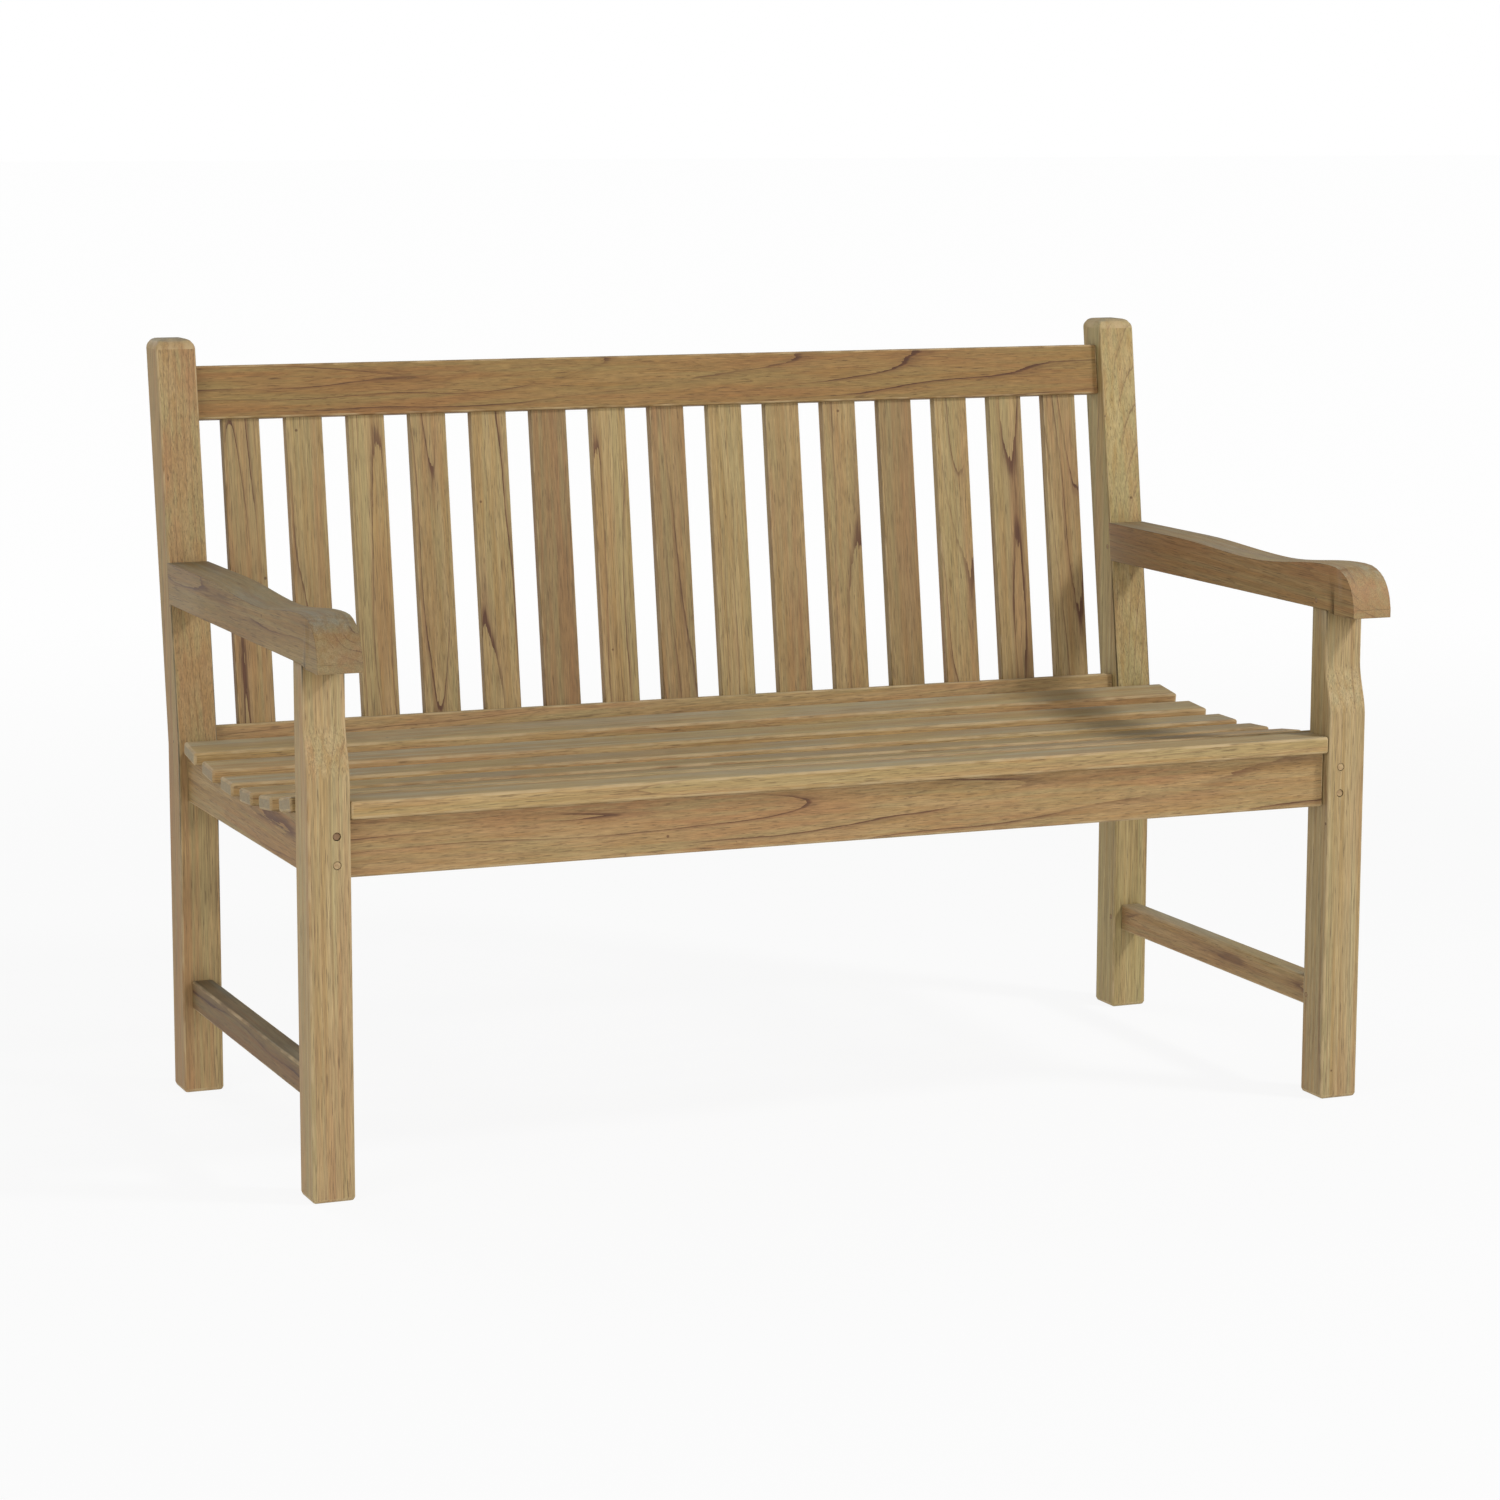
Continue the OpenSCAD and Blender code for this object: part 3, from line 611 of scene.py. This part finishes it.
def backRail(low, high):
    inset = backSizes["inset"]
    bm = box((-postIn, inset, low), (postIn, inset + backSizes["railThickness"], high))
    easeEdges(bm, bm.edges[:], backSizes["railRound"])
    bmesh.ops.transform(bm, matrix=rakeMatrix, verts=bm.verts)
    return bm


def backSlat(middle):
    half = backSizes["slatWidth"] / 2
    bm = box((middle - half, slatInset, backSizes["lowRailUp"] - backSizes["slatIn"]),
             (middle + half, slatInset + backSizes["slatThickness"], topRailLow + backSizes["slatIn"]))
    easeEdges(bm, sharpEdges(bm, 50, lambda e: e.calc_length() > 0.1), backSizes["slatRound"])
    bmesh.ops.transform(bm, matrix=rakeMatrix, verts=bm.verts)
    return bm


woodPiece("top_back_rail", backRail(topRailLow, topRailTop), "x", backLooks["top"])
lowRailTop = backSizes["lowRailUp"]
woodPiece("lower_back_rail", backRail(lowRailTop - backSizes["lowRail"], lowRailTop),
          "x", backLooks["low"])

# tone (light boards are above 0), warmth and how clear the growth lines are, from left to right
slatLooks = [
    (-0.35, 0.25, 1.3), (-0.25, 0.1, 0.8), (0.0, 0.0, 0.8), (-0.25, 0.1, 1.2), (-0.05, 0.05, 1.2),
    (-0.95, 0.7, 0.9), (0.05, 0.0, 0.9), (-0.65, 0.6, 0.8), (-0.05, -0.1, 0.7), (-0.35, 0.2, 0.8),
    (-0.25, 0.1, 1.1), (-0.9, 0.25, 1.0), (-0.15, 0.1, 1.0), (-0.25, 0.15, 1.2), (-0.55, 0.1, 1.3),
]
for number, (tone, warmth, lines) in enumerate(slatLooks, 1):
    node = "back_slat_%02d" % number
    low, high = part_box(node)
    look = {"seed": 100 + number * 7, "tone": tone, "warmth": warmth, "lines": lines,
            "ringGap": 0.008 + 0.003 * (number % 3), **backLooks["slats"]}
    woodPiece(node, backSlat((low.x + high.x) / 2), "rake", look)
print("back made with", len(slatLooks), "slats")

# ---- seat

seatSizes = {
    "slatWidth": 0.047,
    "slatThickness": 0.016,
    "slatRound": 0.0032,
    "dishBack": 0.304,
    "dishRadius": 1.230,
    "bearer": 0.024,
    "railRound": 0.0030,
    "rearRound": 0.002,
    "dishedRound": 0.002,
    "boardGap": 0.0002,     # between a board's square end and the leg or post
    "sideRail": 0.026,
    "blockTop": 0.42,       # height of a dished rail before its seats are cut
}
seatLooks = {
    "front_seat_slat": {"seed": 61, "tone": 0.05, "warmth": 0.0, "lines": 0.4, "slant": 0.5},
    "front_seat_rail": {"seed": 74, "tone": -0.35, "warmth": 0.4, "lines": 1.0, "ringGap": 0.016,
                        "heart": (0.042, -0.020), "dive": 3.1, "slant": 0.3},
    "rear_seat_rail": {"seed": 63, "tone": -0.1, "lines": 0.8, "ringGap": 0.011},
    "right_side_rail": {"seed": 71, "tone": 0.0, "ringGap": 0.009},
    "left_side_rail": {"seed": 72, "tone": -0.6, "lines": 0.9, "ringGap": 0.013, "slant": 1.2},
    "centre_bearer": {"seed": 73, "tone": -0.05},
}
dishY = legFront + seatSizes["dishBack"]
slatUnder = seatSizes["dishRadius"] + seatSizes["slatThickness"]
slatMiddle = seatSizes["dishRadius"] + seatSizes["slatThickness"] / 2
seatNodes = ["seat_slat_%02d" % number for number in range(1, 7)]


def boxMiddle(node):
    low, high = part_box(node)
    return (low + high) / 2


def slatAngle(node):
    return math.asin((boxMiddle(node).y - dishY) / slatMiddle)


dishZ = boxMiddle(seatNodes[3]).z + slatMiddle * math.cos(slatAngle(seatNodes[3]))


def seatSlat(node):
    middle = boxMiddle(node)
    size = Vector((outerX, seatSizes["slatWidth"] / 2, seatSizes["slatThickness"] / 2))
    bm = box(-size, size)
    easeEdges(bm, bm.edges[:], seatSizes["slatRound"], 4)
    turn = Matrix.Translation((0, middle.y, middle.z)) @ Matrix.Rotation(slatAngle(node), 4, "X")
    bmesh.ops.transform(bm, matrix=turn, verts=bm.verts)
    return bm


seatTones = [(0.1, 0.5), (-0.05, 0.6), (-0.15, 0.8), (0.1, 0.6), (0.2, 0.5), (0.15, 0.6)]
for node, (tone, lines) in zip(seatNodes, seatTones):
    look = {"seed": 300 + len(node) + int(node[-2:]) * 13, "tone": tone, "lines": lines, "ringGap": 0.010}
    woodPiece(node, seatSlat(node), "x", look)


def longBoard(node, halfLength, edgeRound):
    # A board with the node's section, ending square just short of plus and minus halfLength
    low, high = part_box(node)
    end = halfLength - seatSizes["boardGap"]
    bm = box((-end, low.y, low.z), (end, high.y, high.z))
    easeEdges(bm, bm.edges[:], edgeRound, 4)
    return woodPiece(node, bm, "x", seatLooks[node])


longBoard("front_seat_slat", legIn, seatSizes["slatRound"])
frontRail = longBoard("front_seat_rail", legIn, seatSizes["railRound"])
longBoard("rear_seat_rail", postIn, seatSizes["rearRound"])


def dishedRail(low, high, endHeight=None):
    # Flat below; above it a flat seat for each slat. The ends stand at endHeight, or follow the dish
    half = seatSizes["slatWidth"] / 2
    seats = []
    for node in seatNodes:
        angle = slatAngle(node)
        for side in (-half, half):
            seats.append((dishY + slatUnder * math.sin(angle) + side * math.cos(angle),
                          dishZ - slatUnder * math.cos(angle) + side * math.sin(angle)))
    bm = box(low, high)
    cutAcross(bm, 1, [y for y, _ in seats])
    for v in bm.verts:
        if v.co.z < (low[2] + high[2]) / 2:
            continue
        nearest = min(seats, key=lambda seat: abs(seat[0] - v.co.y))
        if abs(nearest[0] - v.co.y) < touching:
            v.co.z = nearest[1]
        elif endHeight is None:
            v.co.z = dishZ - math.sqrt(slatUnder ** 2 - (v.co.y - dishY) ** 2)
        else:
            v.co.z = endHeight
    easeEdges(bm, sharpEdges(bm, 50), seatSizes["dishedRound"])
    return bm


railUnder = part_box("front_seat_rail")[0].z
blockTop = seatSizes["blockTop"]
halfSide = seatSizes["sideRail"] / 2
sideRail = dishedRail((sideMid - halfSide, legBack, railUnder), (sideMid + halfSide, postFront, blockTop))
rightSideRail = woodPiece("right_side_rail", sideRail.copy(), "y", seatLooks["right_side_rail"])
leftSideRail = woodPiece("left_side_rail", mirrored(sideRail), "y", seatLooks["left_side_rail"])
sideRail.free()
rearLow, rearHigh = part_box("rear_seat_rail")
frontLow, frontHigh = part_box("front_seat_rail")
halfBearer = seatSizes["bearer"] / 2
bearerWood = dishedRail((-halfBearer, frontHigh.y, railUnder), (halfBearer, rearLow.y, blockTop), rearHigh.z)
bearer = woodPiece("centre_bearer", bearerWood, "y", seatLooks["centre_bearer"])
print("seat and its frame made")

# ---- low stretchers

stretcherRound = 0.0025
stretcherLooks = {
    "right": {"seed": 81, "tone": -0.15, "ringGap": 0.010},
    "left": {"seed": 82, "tone": -2.0, "warmth": 0.6, "lines": 1.0, "ringGap": 0.010},
}


def stretcher():
    low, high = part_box("right_stretcher")
    bm = box((low.x, legBack, low.z), (high.x, postFront, high.z))
    easeEdges(bm, bm.edges[:], stretcherRound)
    return bm


bar = stretcher()
woodPiece("right_stretcher", bar.copy(), "y", stretcherLooks["right"])
woodPiece("left_stretcher", mirrored(bar), "y", stretcherLooks["left"])
bar.free()
print("stretchers made")

# ---- pegs and pins, each in its own drilled hole

pegSizes = {
    "radius": 0.0043,
    "hole": 0.0047,
    "deep": 0.020,
    "toCentre": 0.0045,     # from the node's box to a peg's centre line
    "spare": 0.002,         # how much deeper a hole is than its peg
    "rimShare": 0.22,       # the rim's rounding as a share of the radius
    "pinRadius": 0.0028,
    "pinHole": 0.0031,
    "pinDeep": 0.014,
    "pinToCentre": 0.003,
    "topPinSpread": 0.012,
    "lowPinUp": 0.006,
}
# How far a peg stands proud and how dark it has aged: left upper, left lower, right upper, right lower
pegFinish = [(-0.0014, 0.9), (0.0001, 0.1), (0.0001, 0.0), (-0.0009, 0.2)]
pinFinish = [(0.0001, 0.6)]
peg = {
    "light": (0.345, 0.238, 0.112, 1),
    "dark": (0.165, 0.088, 0.038, 1),
}


def pegMaterial():
    material, tree, _ = newMaterial("peg_teak")
    place = addNode(tree, "ShaderNodeTexCoord").outputs["Object"]
    cells = addNode(tree, "ShaderNodeTexVoronoi", {"Vector": place, "Scale": 1500.0}).outputs["Distance"]
    age = addNode(tree, "ShaderNodeAttribute", attribute_name="age").outputs["Fac"]
    grain = grainNoise(tree, place, (260, 260, 260), 3.0, 0.6)
    colour = blendColour(tree, age, peg["light"], peg["dark"])
    colour = blendColour(tree, spread(tree, grain, 0.35, 0.7, 0.0, 0.5), colour, peg["dark"])
    colour = blendColour(tree, spread(tree, cells, 0.0, 0.45, 0.35, 0.0), colour, teak["pore"])
    finishShader(tree, colour, spread(tree, grain, 0.3, 0.7, 0.6, 0.8), grain, 0.4, 0.0004)
    return material


pegTeak = pegMaterial()


def pegsPiece(node, pegs):
    # pegs: (mouth, direction into the wood, radius, depth, how far it stands proud, how dark it has aged)
    bm = bmesh.new()
    ages = bm.faces.layers.float.new("age")
    for mouth, direction, radius, depth, proud, age in pegs:
        direction = Vector(direction).normalized()
        turn = (-direction).to_track_quat("Z", "Y").to_matrix().to_4x4()
        start = Vector(mouth) - direction * proud
        middle = Matrix.Translation(start + direction * depth / 2)
        made = bmesh.ops.create_cone(bm, cap_ends=True, segments=28, radius1=radius, radius2=radius,
                                     depth=depth, matrix=middle @ turn)["verts"]
        rim = [e for e in {e for v in made for e in v.link_edges}
               if all(abs((v.co - start).dot(direction)) < touching for v in e.verts)]
        for face in {f for v in made for f in v.link_faces}:
            face[ages] = age
        easeEdges(bm, rim, radius * pegSizes["rimShare"], 2)
    return finishPiece(node + "_wood", bm, [node], pegTeak)


def bothSides(places):
    return [(Vector((x * side, y, z)), Vector((dx * side, dy, dz)))
            for side in (-1, 1) for (x, y, z), (dx, dy, dz) in places]


def fitPins(node, places, radius, hole, deep, pieces, finish):
    spots = bothSides(places)
    for piece in pieces:
        drill(piece, [(mouth, into, hole, deep) for mouth, into in spots])
    long = deep - pegSizes["spare"]
    pegsPiece(node, [(mouth, into, radius, long, *finish[k % len(finish)])
                     for k, (mouth, into) in enumerate(spots)])


def fitSmallPins(node, places, pieces):
    fitPins(node, places, pegSizes["pinRadius"], pegSizes["pinHole"], pegSizes["pinDeep"], pieces, pinFinish)


pegLow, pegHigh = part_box("front_rail_pegs")
toCentre = pegSizes["toCentre"]
frontPegs = [((pegHigh.x - toCentre, legFront, z), (0, 1, 0))
             for z in (pegHigh.z - toCentre, pegLow.z + toCentre)]
fitPins("front_rail_pegs", frontPegs, pegSizes["radius"], pegSizes["hole"], pegSizes["deep"],
        [leftLeg, rightLeg], pegFinish)

toPin = pegSizes["pinToCentre"]
lowPins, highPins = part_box("stretcher_pins")
pinZ = (lowPins.z + highPins.z) / 2
stretcherPins = [((legIn, lowPins.y + toPin, pinZ), (1, 0, 0)),
                 ((postIn, highPins.y - toPin, pinZ), (1, 0, 0))]
fitSmallPins("stretcher_pins", stretcherPins, [leftLeg, rightLeg, leftPost, rightPost])

lowArmPins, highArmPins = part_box("arm_pins")
armPins = [((armLow.x, lowArmPins.y + toPin, lowArmPins.z + toPin), (1, 0, 0)),
           ((postIn, highArmPins.y - toPin, highArmPins.z - toPin), (1, 0, 0))]
fitSmallPins("arm_pins", armPins, [leftArm, rightArm, leftPost, rightPost])

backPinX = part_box("back_rail_pins")[1].x - toPin
forward = rakeMatrix.to_3x3() @ Vector((0, -1, 0))
topMiddle = (topRailLow + topRailTop) / 2
lowMiddle = lowRailTop - backSizes["lowRail"] / 2
backPinUps = (topMiddle - pegSizes["topPinSpread"], topMiddle + pegSizes["topPinSpread"],
              lowMiddle + pegSizes["lowPinUp"])
backPins = [(rakeMatrix @ Vector((backPinX, postSizes["depth"], up)), forward) for up in backPinUps]
fitSmallPins("back_rail_pins", backPins, [leftPost, rightPost])
print("pegs and pins fitted")

# ---- stainless screws under the seat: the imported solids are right, and the rails are bored up to them

screwSizes = {
    "boreRadius": 0.0045,
    "under": 0.021,         # from the seat of a slat down to the screw's head
    "frontReach": 0.430,    # from the middle to the outer screws of the front rail
}
steel = {
    "bright": (0.58, 0.58, 0.57, 1),
    "dull": (0.36, 0.35, 0.33, 1),
}


def steelMaterial():
    material, tree, shader = newMaterial("stainless_screw_steel")
    place = addNode(tree, "ShaderNodeTexCoord").outputs["Object"]
    brushed = grainNoise(tree, place, (4000, 4000, 300), 2.0, 0.6)
    dull = grainNoise(tree, place, (180, 180, 180), 3.0, 0.6)
    colour = blendColour(tree, spread(tree, dull, 0.35, 0.7), steel["bright"], steel["dull"])
    finishShader(tree, colour, spread(tree, brushed, 0.3, 0.7, 0.28, 0.45), brushed, 0.15, 0.0002)
    shader.inputs["Metallic"].default_value = 1.0
    return material


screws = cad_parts["seat_screws"]
screws.data.materials.clear()
screws.data.materials.append(steelMaterial())
for piece, x in ((leftSideRail, -sideMid), (rightSideRail, sideMid), (bearer, 0)):
    bores = []
    for node in seatNodes:
        angle = slatAngle(node)
        y, z = dishY + slatUnder * math.sin(angle), dishZ - slatUnder * math.cos(angle)
        deep = z - screwSizes["under"] - railUnder
        bores.append(((x, y, railUnder), (0, 0, 1), screwSizes["boreRadius"], deep))
    drill(piece, bores)
frontMiddle = (frontLow.y + frontHigh.y) / 2
frontDeep = frontHigh.z - screwSizes["under"] - railUnder
drill(frontRail, [((screwSizes["frontReach"] * (2 * k / 3 - 1), frontMiddle, railUnder), (0, 0, 1),
                   screwSizes["boreRadius"], frontDeep) for k in range(4)])
print("screw holes bored")

# ---- floor, light and camera

studio = {
    "floorGlow": 0.90,
    "floorPaint": 0.06,
    "farGlow": 0.98,
    "farPaint": 0.02,
    "fadeFrom": 1.6,
    "fadeTo": 5.0,
    "sky": 0.40,
    "key": 122,
    "keySize": 0.7,
    "fill": 70,
    "fillSize": 2.4,
    "front": 70,
    "frontSize": 2.2,
    "back": 58,
    "backSize": 2.6,
    "keyFrom": (0.60, -0.47, 0.65),
    "fillFrom": (-0.85, -0.49, 0.21),
    "frontFrom": (0.12, -1.0, 0.12),
    "backFrom": (-0.35, 0.8, 0.55),
    "away": 4.5,
    "aim": Vector((0, 0, 0.45)),
}


def floorMaterial():
    material, tree, shader = newMaterial("studio_floor")
    place = addNode(tree, "ShaderNodeTexCoord").outputs["Object"]
    far = addNode(tree, "ShaderNodeVectorMath", {0: place}, operation="LENGTH").outputs["Value"]
    near, out = studio["fadeFrom"], studio["fadeTo"]
    glow = spread(tree, far, near, out, studio["floorGlow"], studio["farGlow"])
    paint = spread(tree, far, near, out, studio["floorPaint"], studio["farPaint"])
    tree.links.new(addNode(tree, "ShaderNodeCombineColor", {0: paint, 1: paint, 2: paint}).outputs[0],
                   shader.inputs["Base Color"])
    shader.inputs["Roughness"].default_value = 0.9
    shader.inputs["Specular IOR Level"].default_value = 0.0
    shader.inputs["Emission Color"].default_value = (1, 1, 1, 1)
    tree.links.new(glow, shader.inputs["Emission Strength"])
    return material


def addFloor():
    bm = bmesh.new()
    bmesh.ops.create_grid(bm, x_segments=8, y_segments=8, size=60)
    mesh = bpy.data.meshes.new("studioFloor")
    bm.to_mesh(mesh)
    bm.free()
    floor = bpy.data.objects.new("studioFloor", mesh)
    scene.collection.objects.link(floor)
    floor.data.materials.append(floorMaterial())


def addSky():
    world = bpy.data.worlds.new("studioSky")
    scene.world = world
    world.use_nodes = True
    tree = world.node_tree
    seen = addNode(tree, "ShaderNodeLightPath").outputs["Is Camera Ray"]
    strength = spread(tree, seen, 0.0, 1.0, studio["sky"], 1.0)
    tree.nodes["Background"].inputs["Color"].default_value = (1, 1, 1, 1)
    tree.links.new(strength, tree.nodes["Background"].inputs["Strength"])


def addLight(name, direction, watts, size):
    lamp = bpy.data.lights.new(name, "AREA")
    lamp.shape = "DISK"
    lamp.size = size
    lamp.energy = watts
    light = bpy.data.objects.new(name, lamp)
    scene.collection.objects.link(light)
    light.location = studio["aim"] + Vector(direction).normalized() * studio["away"]
    light.rotation_euler = (studio["aim"] - light.location).to_track_quat("-Z", "Y").to_euler()


cameraPlace = {
    "place": (-1.8640, -4.4506, 1.1968),
    "turn": -22.572,
    "down": 9.204,
    "roll": 0.153,
    "lens": 98.29,
}


def addCamera():
    lens = bpy.data.cameras.new("camera")
    lens.lens = cameraPlace["lens"]
    lens.sensor_width = 36
    camera = bpy.data.objects.new("camera", lens)
    scene.collection.objects.link(camera)
    camera.matrix_world = (
        Matrix.Translation(cameraPlace["place"])
        @ Matrix.Rotation(math.radians(cameraPlace["turn"]), 4, "Z")
        @ Matrix.Rotation(math.radians(90 - cameraPlace["down"]), 4, "X")
        @ Matrix.Rotation(math.radians(cameraPlace["roll"]), 4, "Z")
    )
    scene.camera = camera


addFloor()
addSky()
for lamp in ("key", "fill", "front", "back"):
    addLight(lamp + "Light", studio[lamp + "From"], studio[lamp], studio[lamp + "Size"])
addCamera()
scene.view_settings.view_transform = "Standard"
print("floor, light and camera placed")
